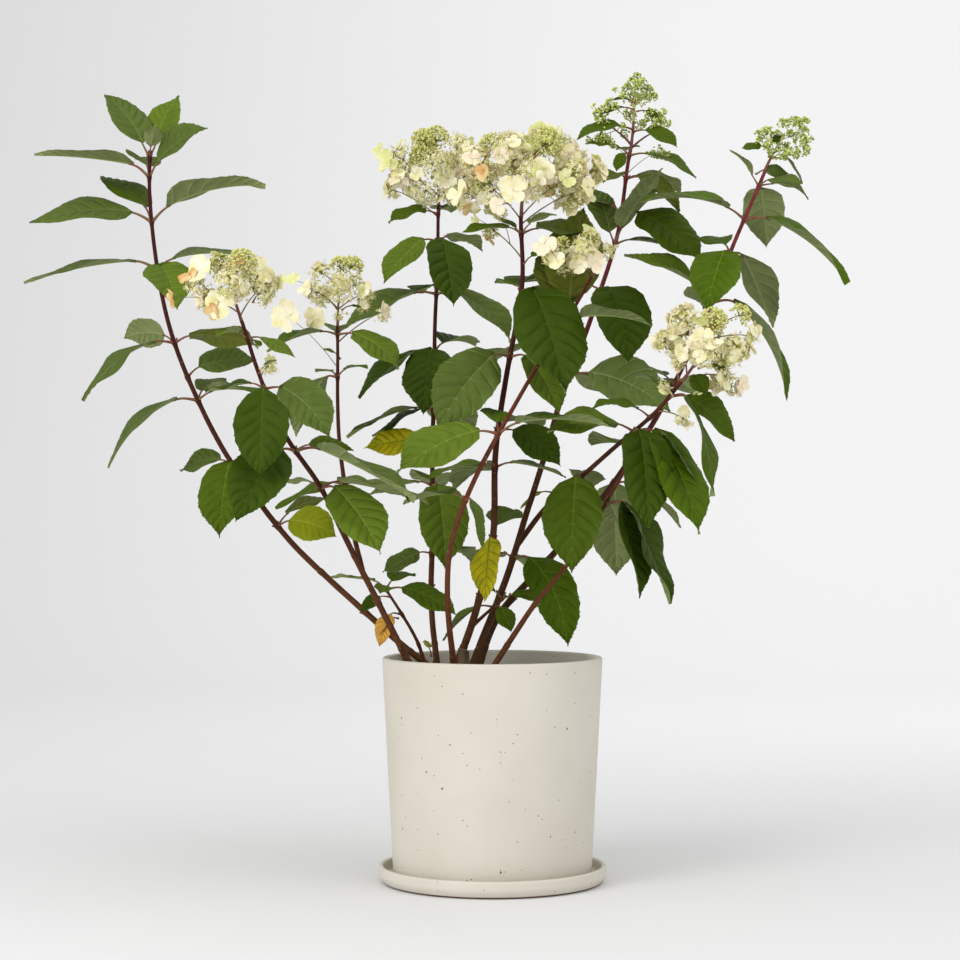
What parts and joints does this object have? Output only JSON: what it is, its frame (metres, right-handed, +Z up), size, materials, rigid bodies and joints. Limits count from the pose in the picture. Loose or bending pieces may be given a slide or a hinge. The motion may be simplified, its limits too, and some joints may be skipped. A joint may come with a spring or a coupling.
{
  "type": "potted panicle hydrangea shrub",
  "caption": "Open, many-stemmed panicle hydrangea with cream and green flower heads, planted in a speckled stoneware pot that stands in its saucer.",
  "frame": {"origin": "middle of the saucer's flat underside, on the surface that it stands on", "axes": "+Z up, +X along the crown's widest spread, -Y towards the side the plant is shown from"},
  "size_m": [0.8831, 0.4564, 0.877],
  "materials": {
    "stoneware": "matt cream stoneware with fine dark specks",
    "soil": "moist dark potting mix with bark crumbs",
    "old_wood": "weathered grey cut wood",
    "bark": "smooth brown to wine-red bark with small pale pores",
    "foliage": "matt green leaves, paler and greyer underneath, a few turning yellow",
    "blossom": "cream showy florets and fuzzy small florets, some browning",
    "buds": "tight yellow-green flower buds"
  },
  "bodies": {
    "root": {"saucer": "stoneware", "pot": "stoneware", "soil": "soil", "stump": "old_wood", "cane_far_left": "bark", "cane_left": "bark", "panicle_left": "blossom", "cane_left_fork": "bark", "panicle_left_fork": "blossom", "cane_base_twig": "bark", "cane_back": "bark", "panicle_back": "blossom", "cane_front": "bark", "panicle_front": "blossom", "cane_center": "bark", "panicle_center": "blossom", "cane_tall": "bark", "panicle_tall": "buds", "cane_tall_fork": "bark", "panicle_tall_fork": "blossom", "cane_right": "bark", "panicle_right": "buds", "cane_low_right": "bark", "cane_spur": "bark", "foliage_far_left": "foliage", "foliage_left": "foliage", "foliage_left_fork": "foliage", "foliage_base_twig": "foliage", "foliage_back": "foliage", "foliage_front": "foliage", "foliage_center": "foliage", "foliage_tall": "foliage", "foliage_tall_fork": "foliage", "foliage_right": "foliage", "foliage_low_right": "foliage", "foliage_spur": "foliage"}
  },
  "joints": []
}
